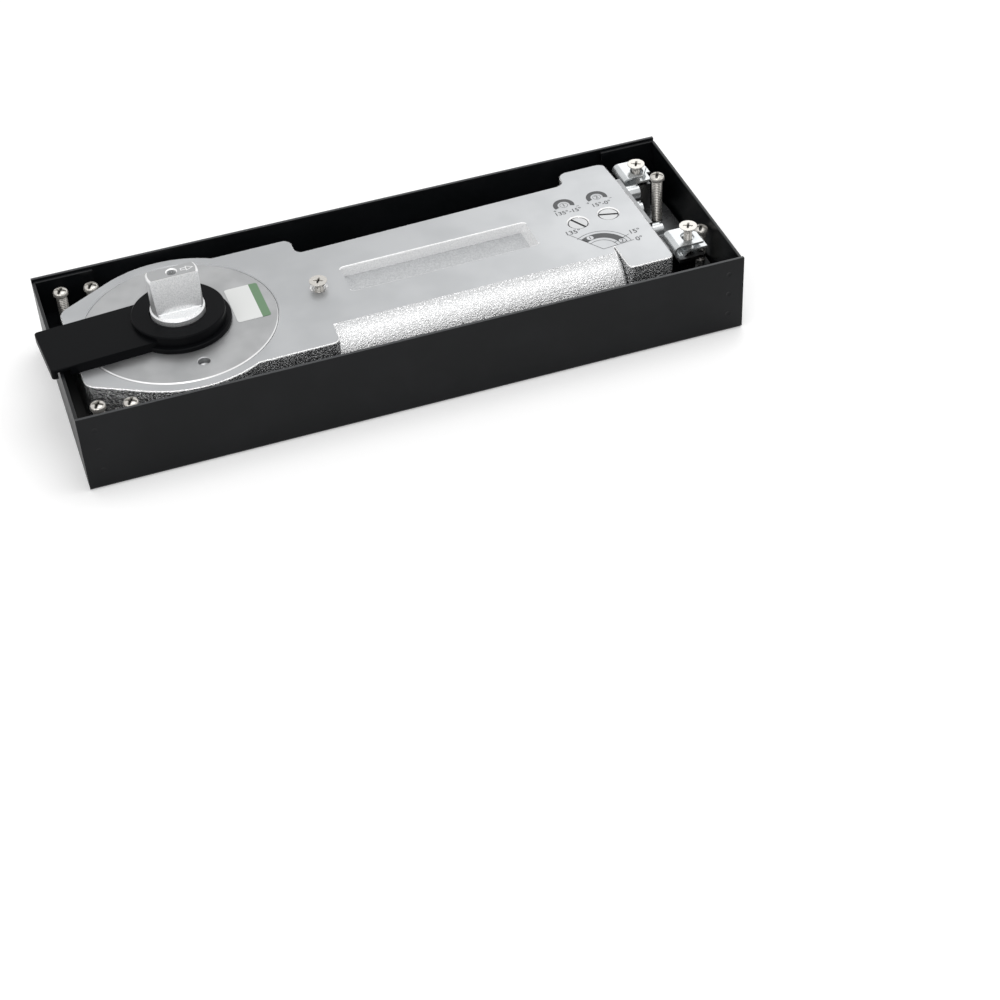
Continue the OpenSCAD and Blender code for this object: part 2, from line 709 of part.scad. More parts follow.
// Bar across the cavity that pushes the spring and the damper
module crosshead() color("#7d8083") difference() {
  translate([crosshead_x, -spring_offset - 9, mech_z - crosshead_h / 2])
    cube([crosshead_t, spring_offset + damper_offset + 17, crosshead_h]);
  translate([0, -spring_offset, mech_z]) bar_x(crosshead_x - cut, rod_start + cut, 3);
  translate([0, damper_offset, mech_z]) bar_x(crosshead_x - cut, rod_start + cut, 2.5);
  for (side = [-1, 1]) translate([crosshead_x + crosshead_t / 2, side * (plate_half - 5), 0])
    cylinder(h = body_top, r = rivet_d / 2);
}
module carriage_rivets() color("#b8babc") for (side = [-1, 1])
  translate([crosshead_x + crosshead_t / 2, side * (plate_half - 5), plate_z]) {
    cylinder(h = plate_gap + 2 * plate_t, r = rivet_d / 2);
    translate([0, 0, -1]) cylinder(h = 1, r = rivet_d / 2 + 1);
    translate([0, 0, plate_gap + 2 * plate_t]) cylinder(h = 1, r = rivet_d / 2 + 1);
  }

// ---------- spring ----------

// Rod with the spring's seat and its guide spigot
module spring_rod() color("#a3a6a9") translate([0, -spring_offset, mech_z]) {
  bar_x(crosshead_x, rod_start, 3);
  bar_x(rod_start, seat_x, 5);
  bar_x(seat_x, seat_x + spring_seat_t, spring_r - run_gap);
  bar_x(seat_x + spring_seat_t, seat_x + spring_seat_t + 8, spring_mean_r - wire_d / 2 - 0.4);
}

// Compression spring: a round wire on a helix whose last turn at each end lies closed
spring_steps = 14;
spring_sides = 6;
function coil_x(t) =
  let (closed = wire_d * 1.02, open = (spring_end - spring_start - wire_d - 2 * closed)
       / (spring_turns - 2))
  spring_start + wire_d / 2
  + (t < 1 ? t * closed : t < spring_turns - 1 ? closed + (t - 1) * open
     : closed + (spring_turns - 2) * open + (t - spring_turns + 1) * closed);
function coil_ring(i) =
  let (t = i / spring_steps, a = t * 360)
  [for (j = [0 : spring_sides - 1])
    let (b = j * 360 / spring_sides, r = spring_mean_r + wire_d / 2 * cos(b))
    [coil_x(t) + wire_d / 2 * sin(b), r * cos(a), r * sin(a)]];
module main_spring() color("#54585c") translate([0, -spring_offset, mech_z]) {
  rings = spring_turns * spring_steps;
  points = [for (i = [0 : rings]) each coil_ring(i)];
  walls = [for (i = [0 : rings - 1], j = [0 : spring_sides - 1])
    let (k = (j + 1) % spring_sides)
    [i * spring_sides + j, i * spring_sides + k,
     (i + 1) * spring_sides + k, (i + 1) * spring_sides + j]];
  first = [for (j = [spring_sides - 1 : -1 : 0]) j];
  last = [for (j = [0 : spring_sides - 1]) rings * spring_sides + j];
  polyhedron(points, concat(walls, [first, last]), convexity = 10);
}

module spring_cap() color("#a8abae")
  translate([spring_cap_x, -spring_offset, mech_z]) difference() {
  socket_plug(cap_l, spring_r + cap_thread - screw_gap, 6);
  translate([4, 0, 0]) rotate([0, 90, 0]) rotate_extrude()
    translate([spring_r + cap_thread - 1.1, 0]) square([3, 2]);
}
module spring_cap_seal() color("#26282a")
  translate([spring_cap_x + 5, -spring_offset, mech_z]) rotate([0, 90, 0])
    o_ring(spring_r + cap_thread - 0.55, 0.5);

// ---------- damper ----------

// Piston and rod in one, drilled for the check valve
module damper_piston() color("#b7babd") translate([0, damper_offset, mech_z]) difference() {
  union() {
    bar_x(crosshead_x, rod_start, 2.5);
    bar_x(rod_start, piston_x, 3.8);
    bar_x(piston_x, piston_x + piston_l, piston_r);
  }
  bar_x(piston_x - 5, piston_x + piston_l, 1.5);
  bar_x(piston_x + piston_l - check_l, piston_x + piston_l + cut, ball_d / 2 + 0.6);
  translate([piston_x - 4, 0, -6]) cylinder(h = 12, r = 1.2);
  rotate([0, 90, 0]) translate([0, 0, piston_x + 6]) rotate_extrude()
    translate([piston_r - 1.4, 0]) square([3, 2.4]);
}
module piston_ring() color("#3a3d40")
  translate([piston_x + 6.1, damper_offset, mech_z]) rotate([0, 90, 0])
    ring(piston_r + 0.02, piston_r - 1.3, 2.2);
module check_ball() color("#d8dadc")
  translate([piston_x + piston_l - check_l + ball_d / 2, damper_offset, mech_z]) sphere(ball_d / 2);
module check_seat() color("#a08a58") translate([piston_x + piston_l - 4, damper_offset, mech_z])
  difference() {
    bar_x(0, 4, ball_d / 2 + 0.6);
    bar_x(-cut, 4 + cut, 1.4);
  }
module damper_cap() color("#a8abae") translate([damper_cap_x, damper_offset, mech_z]) difference() {
  socket_plug(damper_cap_l, damper_r + cap_thread - screw_gap, 5);
  translate([2, 0, 0]) rotate([0, 90, 0]) rotate_extrude()
    translate([damper_r + cap_thread - 1.1, 0]) square([3, 2]);
}
module damper_cap_seal() color("#26282a")
  translate([damper_cap_x + 3, damper_offset, mech_z]) rotate([0, 90, 0])
    o_ring(damper_r + cap_thread - 0.55, 0.5);
module gallery_plug() color("#a8abae")
  translate([body_x - 8, gallery_y, gallery_z]) socket_plug(8, gallery_r + 1, 1.5);

// ---------- speed valves ----------

// Slotted needle screw sunk in the top face, its tip by the cross drilling
module valve_screw(at, slot_angle) translate([at.x, at.y, 0]) difference() {
  union() {
    translate([0, 0, body_top - valve_sink - 2.8]) cylinder(h = 2.5, r = valve_head_d / 2);
    translate([0, 0, body_top - valve_sink - 0.3])
      cylinder(h = 0.3, r1 = valve_head_d / 2, r2 = valve_head_d / 2 - 0.3);
    translate([0, 0, mech_z + 3])
      cylinder(h = body_top - valve_sink - 2.8 - mech_z - 3, r = valve_bore_r - run_gap);
    translate([0, 0, mech_z - 3]) cylinder(h = 6, r1 = 0.6, r2 = 2.2);
  }
  translate([0, 0, valve_seal_z]) rotate_extrude()
    translate([valve_bore_r - 1, -0.9]) square([3, 1.8]);
  rotate(slot_angle) translate([-valve_head_d, -slot_w / 2, body_top - valve_sink - 1.3])
    cube([2 * valve_head_d, slot_w, 3]);
}
module valve_seal(at) translate([at.x, at.y, valve_seal_z])
  o_ring(valve_bore_r - valve_seal_r - 0.01, valve_seal_r);
module closing_valve_screw() color("#c3c5c7") valve_screw(closing, -62);
module latching_valve_screw() color("#c3c5c7") valve_screw(latching, -17);
module closing_valve_seal() color("#26282a") valve_seal(closing);
module latching_valve_seal() color("#26282a") valve_seal(latching);

// ---------- right-hand bracket, clips and screws ----------

// Bent bracket on the body's end: flange, base with the jack screws, two eared tabs
module end_bracket() color("#222427") difference() {
  union() {
    translate([body_x, -ear_y, bracket_z]) cube([bracket_t, 2 * ear_y, body_top - 1 - bracket_z]);
    translate([body_x, -ear_y, bracket_z]) cube([bracket_x - body_x, 2 * ear_y, bracket_t]);
    for (side = [0, 1]) mirror([0, side, 0]) {
      translate([ear_x0, ear_y - bracket_t, bracket_z])
        cube([ear_x1 - ear_x0, bracket_t, tab_z - bracket_z]);
      translate([ear_x0, ear_y - bracket_t, tab_z - bracket_t])
        cube([ear_x1 - ear_x0, clip_y + tab_out - ear_y + bracket_t, bracket_t]);
    }
  }
  // window over the spring and damper plugs
  translate([body_x - cut, -ear_y - cut, window_z])
    cube([bracket_t + 2 * cut, ear_y - 11, body_top]);
  for (at = bracket_screw_at) translate([0, at.x, at.y])
    bar_x(body_x - cut, body_x + bracket_t + cut, cover_screw_d / 2);
  for (at = jack_at) translate([at.x, at.y, 0]) cylinder(h = bracket_z + 4, r = screw_d / 2);
  for (side = [-1, 1])
    translate([clip_x, side * clip_y, tab_z - 4]) cylinder(h = 5, r = cover_screw_d / 2);
}

// Cheese-head screws that hold the bracket to the body
module bracket_screws() color("#c9cbc8") for (at = bracket_screw_at)
  translate([body_x, at.x, at.y]) difference() {
    union() {
      bar_x(-bracket_screw_l, bracket_t, cover_screw_d / 2);
      bar_x(bracket_t, bracket_t + at.z, bracket_head_r);
    }
    translate([bracket_t + at.z - slot_w, -slot_w / 2, -bracket_head_r - cut])
      cube([2 * slot_w, slot_w, 2 * bracket_head_r + 2 * cut]);
  }

// Side view of a cover clip: a loop of strip whose two legs run on close together
module clip_strip() {
  loop_r = clip_h / 2;
  bend = loop_r - clip_l / 2;
  difference() {
    translate([bend, -loop_r]) circle(loop_r);
    translate([bend, -loop_r]) circle(loop_r - clip_t);
    translate([bend, -clip_h + clip_t]) square([clip_l, clip_h - 2 * clip_t]);
    translate([bend + 1.6, -clip_h - cut]) square([clip_l, clip_h]);
  }
  translate([bend, -clip_t]) square([clip_l - loop_r, clip_t]);
  // the lower leg rises out of the loop and then runs level
  polygon([[bend, -clip_h], [bend + 1.6, -clip_h], [bend + 4.4, -leg_h],
           [clip_l / 2 + 0.1, -leg_h], [clip_l / 2 + 0.1, clip_t - leg_h],
           [bend + 3.8, clip_t - leg_h], [bend + 1.2, clip_t - clip_h], [bend, clip_t - clip_h]]);
}

// Folded cover clip, lower leg on the bracket's tab and upper leg under the cover
module cover_clip(shift) difference() {
  x0 = clip_x - clip_back;
  x1 = x0 + clip_l / 2;
  y0 = clip_y + shift - clip_w / 2;
  union() {
    translate([x0, y0 + clip_w, clip_top]) rotate([90, 0, 0]) linear_extrude(clip_w) clip_strip();
    translate([x1 - cut, y0 + clip_crop.y, leg_z])
      cube([leg_over + cut, clip_w - clip_crop.y, clip_t]);
  }
  translate([clip_x, clip_y, leg_z - cut]) cylinder(h = leg_h - clip_t, r = cover_screw_d / 2);
  // long hole in the upper leg
  translate([0, 0, clip_top - clip_t - cut]) linear_extrude(clip_t + 2 * cut)
    belt([clip_x, clip_y], hole_r, [clip_x, clip_y - clip_play], hole_r);
  translate([0, 0, clip_top - clip_t - cut]) linear_extrude(clip_t + 2 * cut)
    polygon([[x1 + cut, y0 - cut], [x1 + cut, y0 + clip_crop.y],
             [x1, y0 + clip_crop.y], [x1 - clip_crop.x, y0], [x1 - clip_crop.x, y0 - cut]]);
}
module cover_clip_rear() color("#c2c4c3") cover_clip(clip_shift[1]);
module cover_clip_front() color("#c2c4c3") mirror([0, 1, 0]) cover_clip(clip_shift[0]);

// Countersunk cover screws, standing proud in their holes because the cover plate is off
module cover_screws() color("#cfcdc6") {
  translate([cover_screw_at.x, cover_screw_at.y, body_top + centre_proud])
    flat_screw(cover_screw_l);
  translate([clip_x, clip_y, clip_top + rear_proud]) flat_screw(cover_screw_l);
  translate([clip_x, -clip_y, clip_top + front_proud]) flat_screw(cover_screw_l);
}

// Long jack screws through the bracket's base, their feet on the case floor
module jack_screws() color("#c6c5bf") for (at = jack_at) {
  seat = at.z - pan_head_d * 0.36;
  translate([at.x, at.y, seat]) pan_screw(seat - case_wall, pan_head_d);
}

// ---------- left-hand corners ----------

// Threaded plates welded to the flaps in the left corners
module corner_plate() {
  wall = inner_y - case_wall;
  difference() {
    union() {
      translate([x_left + case_wall, 0, corner_plate_z]) linear_extrude(bracket_t)
        polygon([[0, wall - corner_plate_w], [corner_plate_l - corner_crop, wall - corner_plate_w],
                 [corner_plate_l, wall - corner_plate_w / 2], [corner_plate_l, wall], [0, wall]]);
      translate([x_left + case_wall, wall - bracket_t, corner_plate_z - corner_foot_h])
        cube([corner_plate_l, bracket_t, corner_foot_h]);
    }
    for (at = corner_screw_at) translate([at.x, at.y, 0]) cylinder(h = case_h, r = screw_d / 2);
  }
}
module corner_plates() color("#222427") rotate(case_turn) for (side = [0, 1])
  mirror([0, side, 0]) corner_plate();
module corner_screws() color("#cbc9c2") rotate(case_turn) for (side = [-1, 1], i = [0, 1]) {
  at = corner_screw_at[i];
  translate([at.x, side * at.y, body_top - 1.6 - 1.6 * i]) pan_screw(corner_screw_l, pan_head_d);
}

// ---------- slot filler and label ----------

// Moulded collar round the boss with a ribbed tongue across the end wall
module slot_filler() color("#1b1c1e") difference() {
  tongue_top = case_h + 0.1 + tongue_t;
  tongue_end = x_left - tongue_over;
  union() {
    translate([0, 0, body_top]) cylinder(h = foot_t, r = foot_r);
    translate([0, 0, body_top]) cylinder(h = collar_h - 0.5, r = collar_r);
    translate([0, 0, body_top + collar_h - 0.5])
      cylinder(h = 0.5, r1 = collar_r, r2 = collar_r - 0.5);
    rotate(filler_turn) difference() {
      translate([0, 0, body_top]) linear_extrude(tongue_top - body_top)
        round_rect(tongue_end, -tongue_w / 2, tongue_t, tongue_w / 2, tongue_t);
      // hollow under the tongue, and the gap that clears the end wall
      translate([tongue_end + tongue_t, -tongue_w / 2 + tongue_t, body_top - cut])
        cube([-tongue_end - collar_r, tongue_w - 2 * tongue_t,
              tongue_top - body_top - tongue_t + cut]);
      translate([x_left - 2, -tongue_w, body_top - cut])
        cube([case_wall + 4, 2 * tongue_w, case_h + 0.1 - body_top + cut]);
    }
  }
  translate([0, 0, body_top - cut]) cylinder(h = collar_h + 2 * cut, r = boss_r + 0.3);
}

// Blank adhesive label on the head cover
module blank_label() color("#eef0ee")
  translate([label_at.x, label_at.y, body_top]) linear_extrude(label_t)
    round_rect(0, 0, label_l, label_w, 1.2);

case_channel();
case_end_left();
case_end_right();
body_casting();
head_cover();
cover_seal();
upper_bush();
shaft_seal();
lower_bearing_ring();
lower_bearing_balls();
main_spring();
spring_cap();
spring_cap_seal();
damper_cap();
damper_cap_seal();
gallery_plug();
end_bracket();
bracket_screws();
cover_clip_rear();
cover_clip_front();
cover_screws();
jack_screws();
corner_plates();
corner_screws();
slot_filler();
blank_label();
spindle();
cam();
cam_key();
lower_bearing_cone();
carriage_top_plate();
carriage_bottom_plate();
roller_pins();
crosshead();
carriage_rivets();
spring_rod();
damper_piston();
piston_ring();
check_ball();
check_seat();
drive_roller();
return_roller();
closing_valve_screw();
closing_valve_seal();
latching_valve_screw();
latching_valve_seal();
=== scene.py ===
"""Dresses the floor spring door closer: a cast closer body standing in an open black floor case."""
import json
import math
import bmesh
import bpy
import numpy as np
from mathutils import Matrix, Vector


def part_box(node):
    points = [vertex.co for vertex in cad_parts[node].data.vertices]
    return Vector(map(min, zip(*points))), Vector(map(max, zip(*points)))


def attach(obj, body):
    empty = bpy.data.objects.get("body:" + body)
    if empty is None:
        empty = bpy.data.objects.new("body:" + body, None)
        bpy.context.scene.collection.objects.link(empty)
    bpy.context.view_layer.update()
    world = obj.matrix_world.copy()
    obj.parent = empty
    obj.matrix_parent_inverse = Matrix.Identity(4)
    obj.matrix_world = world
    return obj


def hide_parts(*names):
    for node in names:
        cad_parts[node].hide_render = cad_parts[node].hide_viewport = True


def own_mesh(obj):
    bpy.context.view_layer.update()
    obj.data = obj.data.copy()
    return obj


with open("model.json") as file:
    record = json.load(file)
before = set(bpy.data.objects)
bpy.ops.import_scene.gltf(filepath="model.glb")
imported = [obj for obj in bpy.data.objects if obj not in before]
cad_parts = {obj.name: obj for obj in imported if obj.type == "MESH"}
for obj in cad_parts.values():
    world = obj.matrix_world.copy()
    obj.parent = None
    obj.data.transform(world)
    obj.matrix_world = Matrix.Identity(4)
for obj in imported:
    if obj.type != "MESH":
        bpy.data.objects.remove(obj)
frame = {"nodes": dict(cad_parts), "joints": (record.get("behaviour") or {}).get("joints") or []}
scene = bpy.context.scene
scene.view_settings.view_transform = "Standard"
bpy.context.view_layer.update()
mm = 0.001


# ---------- stage: camera, lamps, white surroundings ----------
# The closer stands on a plain white floor under soft studio lamps. The view is from the front,
# a little to the left, with a long lens that is tilted slightly clockwise.

class Sock:
    """A node's output. Arithmetic on it adds Math nodes to its finish."""

    def __init__(self, finish, out):
        self.finish, self.out = finish, out

    def math(self, operation, a, b=0.0):
        return self.finish.node("ShaderNodeMath", {"operation": operation}, {0: a, 1: b})

    def __add__(self, other):
        return self.math("ADD", self, other)

    def __radd__(self, other):
        return self.math("ADD", other, self)

    def __sub__(self, other):
        return self.math("SUBTRACT", self, other)

    def __rsub__(self, other):
        return self.math("SUBTRACT", other, self)

    def __mul__(self, other):
        return self.math("MULTIPLY", self, other)

    def __rmul__(self, other):
        return self.math("MULTIPLY", other, self)

    def __abs__(self):
        return self.math("ABSOLUTE", self)

    def at_most(self, other):
        return self.math("MINIMUM", self, other)

    def at_least(self, other):
        return self.math("MAXIMUM", self, other)

    def root(self):
        return self.math("SQRT", self)

    def sine(self):
        return self.math("SINE", self)

    def step(self, low, high):
        """0 below low, 1 above high, a smooth rise between; high may be the lower one."""
        settings = {"interpolation_type": "SMOOTHSTEP"}
        if high > low:
            return self.finish.node("ShaderNodeMapRange", settings, {0: self, 1: low, 2: high})
        rise = self.finish.node("ShaderNodeMapRange", settings, {0: self, 1: high, 2: low})
        return 1 - rise


class Finish:
    """One procedural material. node() adds any node; the constants sit on the shader itself."""

    def __init__(self, name, color, roughness, metallic=0.0):
        self.material = bpy.data.materials.new(name)
        self.material.use_nodes = True
        self.tree = self.material.node_tree
        self.shader = self.tree.nodes["Principled BSDF"]
        self.set(Base_Color=color, Roughness=roughness, Metallic=metallic)
        self.coords = self.node("ShaderNodeTexCoord", {}, {}, "Object")
        self.x, self.y, self.z = (self.node("ShaderNodeSeparateXYZ", {}, {0: self.coords}, axis)
                                  for axis in "XYZ")
        facing = self.node("ShaderNodeNewGeometry", {}, {}, "Normal")
        self.nz = self.node("ShaderNodeSeparateXYZ", {}, {0: facing}, "Z")

    def put(self, socket, value):
        if isinstance(value, Sock):
            self.tree.links.new(value.out, socket)
        elif isinstance(value, tuple) and len(value) == 3 and socket.type == "RGBA":
            socket.default_value = value + (1.0,)
        else:
            socket.default_value = value

    def node(self, kind, settings, sockets, out=0):
        """Adds a node: its settings first, then its sockets; gives one output."""
        made = self.tree.nodes.new(kind)
        for key, value in settings.items():
            setattr(made, key, value)
        for key, value in sockets.items():
            self.put(made.inputs[key], value)
        return Sock(self, made.outputs[out])

    def set(self, **values):
        for key, value in values.items():
            self.put(self.shader.inputs[key.replace("_", " ")], value)

    def mix(self, amount, a, b):
        """Colour a where amount is 0, colour b where it is 1."""
        return self.node("ShaderNodeMix", {"data_type": "RGBA"}, {0: amount, 6: a, 7: b}, 2)

    def noise(self, size, detail=2.0, rough=0.5, stretch=(1, 1, 1)):
        """Noise whose grains are about size metres across, drawn out along the axes."""
        place = self.node("ShaderNodeMapping", {}, {0: self.coords, 3: stretch})
        return self.node("ShaderNodeTexNoise", {}, {"Vector": place, "Scale": 1 / size,
                                                    "Detail": detail, "Roughness": rough})

    def bump(self, height, depth, strength):
        """Relief: height runs from 0 to 1 over depth metres."""
        return self.node("ShaderNodeBump", {}, {"Height": height, "Distance": depth,
                                                "Strength": strength})

    def wear(self, *nodes):
        """Gives this finish to CAD nodes."""
        for name in nodes:
            slots = frame["nodes"][name].data.materials
            slots.clear()
            slots.append(self.material)


def aim_camera(place, azimuth, elevation, roll, focal, width):
    """Camera at place, looking against the direction that azimuth and elevation name, both in
    degrees. azimuth is counted from the front towards the right, roll about the line of sight."""
    a, e, r = (math.radians(v) for v in (azimuth, elevation, roll))
    back = np.array([math.sin(a) * math.cos(e), -math.cos(a) * math.cos(e), math.sin(e)])
    side = np.cross(-back, [0, 0, 1])
    side /= np.linalg.norm(side)
    up = np.cross(back, side)
    axes = np.eye(4)
    axes[:3, 0] = math.cos(r) * side + math.sin(r) * up
    axes[:3, 1] = -math.sin(r) * side + math.cos(r) * up
    axes[:3, 2] = back
    axes[:3, 3] = place
    data = bpy.data.cameras.new("camera")
    data.sensor_width = width
    data.lens = focal
    data.clip_start = 0.01
    camera = bpy.data.objects.new("camera", data)
    scene.collection.objects.link(camera)
    camera.matrix_world = Matrix(axes.tolist())
    scene.camera = camera


aim_camera(place=(-0.10464, -0.76856, 0.60295), azimuth=-17.962, elevation=41.852, roll=-3.347,
           focal=76.568, width=36.0)


def lamp(name, place, target, size, power):
    """Square soft lamp that looks at target: its size in metres, its power in watts."""
    data = bpy.data.lights.new(name, "AREA")
    data.size = size
    data.energy = power
    light = bpy.data.objects.new(name, data)
    scene.collection.objects.link(light)
    back = np.array(place) - target
    back /= np.linalg.norm(back)
    side = np.cross([0.0, 0.01, 1.0], back)
    side /= np.linalg.norm(side)
    axes = np.eye(4)
    axes[:3, 0], axes[:3, 1], axes[:3, 2], axes[:3, 3] = side, np.cross(back, side), back, place
    light.matrix_world = Matrix(axes.tolist())


middle = (0.09, 0.0, 0.02)
lamp("lamp_over", (0.25, 0.05, 1.0), middle, 0.6, 2.6)
lamp("lamp_back", (0.75, 0.8, 0.65), (0.18, 0.0, 0.03), 0.6, 1.3)
lamp("lamp_front", (-0.3, -1.0, 0.95), middle, 0.6, 2.7)
lamp("lamp_left", (-0.9, -0.5, 0.6), middle, 0.5, 1.1)
lamp("lamp_right", (1.0, -0.5, 0.5), middle, 0.4, 0.5)

world = bpy.data.worlds.new("studio")
scene.world = world
world.use_nodes = True
sky = world.node_tree
ray = sky.nodes.new("ShaderNodeLightPath")
seen = sky.nodes.new("ShaderNodeMath")
seen.operation = "MAXIMUM"
sky.links.new(ray.outputs["Is Camera Ray"], seen.inputs[0])
sky.links.new(ray.outputs["Is Glossy Ray"], seen.inputs[1])
glow = sky.nodes.new("ShaderNodeMapRange")
glow.inputs["To Min"].default_value = 0.62
glow.inputs["To Max"].default_value = 1.0
sky.links.new(seen.outputs[0], glow.inputs["Value"])
sky.links.new(glow.outputs[0], sky.nodes["Background"].inputs["Strength"])
sky.nodes["Background"].inputs["Color"].default_value = (1.0, 1.0, 1.0, 1.0)


def grid(points, around=False, along=False):
    """Quads through an array of points (rows, columns, xyz). around joins the last column to
    the first, along joins the last row to the first."""
    rows, columns = points.shape[:2]
    i = np.arange(rows if along else rows - 1)[:, None]
    j = np.arange(columns if around else columns - 1)[None, :]
    i2, j2 = (i + 1) % rows, (j + 1) % columns
    quads = np.stack([i * columns + j, i * columns + j2, i2 * columns + j2, i2 * columns + j], -1)
    return points.reshape(-1, 3), quads.reshape(-1, 4).tolist()


def make(name, parts, sharp=30.0, solid=True):
    """One object from (points, faces) parts, its place in its mesh. A part's third item, how
    deep each point lies in a recess, goes to its depth attribute. Doubles are merged, and a
    solid's faces are turned outwards. Bends above sharp degrees stay crisp."""
    points = np.concatenate([part[0] for part in parts])
    faces, start = [], 0
    for part in parts:
        faces += [[start + k for k in face] for face in part[1]]
        start += len(part[0])
    data = bpy.data.meshes.new(name)
    data.from_pydata(points.tolist(), [], faces)
    if len(parts[0]) > 2:
        depths = np.concatenate([part[2] for part in parts])
        data.attributes.new("depth", "FLOAT", "POINT").data.foreach_set("value", depths)
    shape = bmesh.new()
    shape.from_mesh(data)
    bmesh.ops.remove_doubles(shape, verts=shape.verts, dist=1e-7)
    if solid:
        bmesh.ops.recalc_face_normals(shape, faces=shape.faces)
    shape.to_mesh(data)
    shape.free()
    data.shade_smooth()
    data.set_sharp_from_angle(angle=math.radians(sharp))
    piece = bpy.data.objects.new(name, data)
    scene.collection.objects.link(piece)
    return piece


floor_reach = 6.0
span = np.linspace(-floor_reach, floor_reach, 3)
across, away = np.meshgrid(span, span)
floor = make("floor", [grid(np.stack([across, away, 0 * across], -1))], solid=False)
ground = Finish("studio_floor", (0.93, 0.93, 0.93), 0.9)
direct = ground.node("ShaderNodeLightPath", {}, {}, "Is Camera Ray")
ground.set(Specular_IOR_Level=0.1, Emission_Strength=0.22,
           Emission_Color=ground.mix(direct, (0.0, 0.0, 0.0), (1.0, 1.0, 1.0)))
floor.data.materials.append(ground.material)


# ---------- floor case ----------
# Folded from 1.5 mm sheet, its end walls spot-welded through their flaps, then stoved satin
# black. The cut rim is painted a little lighter: thin paint there, and a painted highlight.

paint = Finish("case_paint", (0.003, 0.0034, 0.004), 0.4)
grain = paint.noise(0.7 * mm, 3.0)
cloud = paint.noise(30 * mm, 3.0, 0.6)
# The cut rim's top is painted lighter: partly thin paint, partly a painted highlight.
rim = paint.z.step(38.0 * mm, 39.2 * mm) * paint.nz.step(0.6, 0.9)
body_of_paint = paint.mix(cloud.step(0.4, 0.7), (0.0022, 0.0027, 0.0034), (0.004, 0.0045, 0.0055))
paint.set(Base_Color=paint.mix(rim, body_of_paint, (0.05, 0.052, 0.055)),
          Roughness=0.26 + 0.12 * cloud, Specular_IOR_Level=0.22,
          Normal=paint.bump(grain, 0.012 * mm, 0.5))
paint.wear("case_channel", "case_end_left", "case_end_right", "corner_plates")


def broken_edges(node, body, finish, width, steps=4, crease=28):
    """Stands a copy of a CAD node in its place, merged, with the outer edges of its level tops
    rounded. Wall top and face edge draw back by width to a centre C, and quarter circles
    P(t) = C + width (out cos t + up sin t) bridge them. The tops are then filled again, and
    bends above crease degrees stay crisp."""
    source = frame["nodes"][node].data
    data = bpy.data.meshes.new(node + "_edged")
    data.from_pydata([point.co[:] for point in source.vertices], [],
                     [face.vertices[:] for face in source.polygons])
    shape = bmesh.new()
    shape.from_mesh(data)
    bmesh.ops.remove_doubles(shape, verts=shape.verts, dist=1e-6)
    shape.normal_update()
    level = {face for face in shape.faces if face.normal.z > 0.9999}
    rim, outs = [], {}
    # A rim edge lies between a level top and one other face. It is rounded where that face is a
    # wall and the edge stands proud.
    for edge in shape.edges:
        if sum(face in level for face in edge.link_faces) != 1:
            continue
        wall = [face for face in edge.link_faces if face not in level]
        upright = len(edge.link_faces) == 2 and abs(wall[0].normal.z) < 0.5 and edge.is_convex
        out = wall[0].normal.copy() if upright else None
        rim.append((edge, round(edge.verts[0].co.z, 6)))
        for corner in edge.verts:
            outs.setdefault(corner, []).append(out)
    # At a corner the mitre of its two walls says which way is out. A hairpin corner stays sharp.
    rows = {}
    for corner, walls in outs.items():
        rows[corner] = [corner] * (steps + 1)
        if len(walls) != 2 or None in walls or walls[0].dot(walls[1]) < -0.3:
            continue
        out = (walls[0] + walls[1]) / (1 + walls[0].dot(walls[1])) * width
        out.z = 0
        turns = [math.pi / 2 * k / steps for k in range(1, steps + 1)]
        corner.co.z -= width
        rows[corner] = [corner] + [shape.verts.new(corner.co - out * (1 - math.cos(t)) +
                                                   Vector((0, 0, width * math.sin(t))))
                                   for t in turns]
    ends = [(edge.verts[:], z) for edge, z in rim]
    bmesh.ops.delete(shape, geom=list(level), context="FACES")
    tops = {}
    for (a, b), z in ends:
        for k in range(steps):
            around = dict.fromkeys((rows[a][k], rows[b][k], rows[b][k + 1], rows[a][k + 1]))
            if len(around) > 2:
                shape.faces.new(list(around))
        tops.setdefault(z, []).append(shape.edges.get((rows[a][-1], rows[b][-1])))
    before = set(shape.faces)
    for edges in tops.values():
        bmesh.ops.triangle_fill(shape, use_beauty=True, use_dissolve=False, normal=(0, 0, 1),
                                edges=list(dict.fromkeys(edges)))
    level = set(shape.faces) - before
    bmesh.ops.recalc_face_normals(shape, faces=shape.faces)
    for face in shape.faces:
        face.smooth = True
    for edge in shape.edges:
        flat = [face in level for face in edge.link_faces]
        gentle = edge.calc_face_angle(0.0) < math.radians(crease)
        edge.smooth = gentle and (all(flat) or not any(flat))
    shape.to_mesh(data)
    shape.free()
    piece = bpy.data.objects.new(data.name, data)
    scene.collection.objects.link(piece)
    data.materials.append(finish.material)
    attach(piece, body)
    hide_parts(node)
    return piece


for node in ("case_channel", "case_end_left", "case_end_right"):
    broken_edges(node, "closer", paint, 0.3 * mm, steps=2, crease=9)


# ---------- cast body ----------
# Sand casting in silver paint. The top face is milled and sprayed satin, the sides and the
# spring cylinder keep the grain of the mould, and the milled face's edge is broken by hand.
# Light and shade are painted into the colour of the sides, the cylinder, the nameplate well and
# the broken edge.

top_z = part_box("head_cover")[1].z
cast = Finish("cast_body", (0.6, 0.61, 0.62), 0.4, 0.8)
coarse = cast.noise(0.9 * mm, 3.0, 0.6)
fine = cast.noise(0.4 * mm, 2.0, 0.5)
mould = coarse * 0.5 + fine * 0.5
skin = mould.step(0.38, 0.62)
glint = mould.step(0.47, 0.58)
ripple = cast.noise(0.9 * mm, 2.0, 0.5, (1, 0.5, 1))
haze = cast.noise(22 * mm, 2.0)

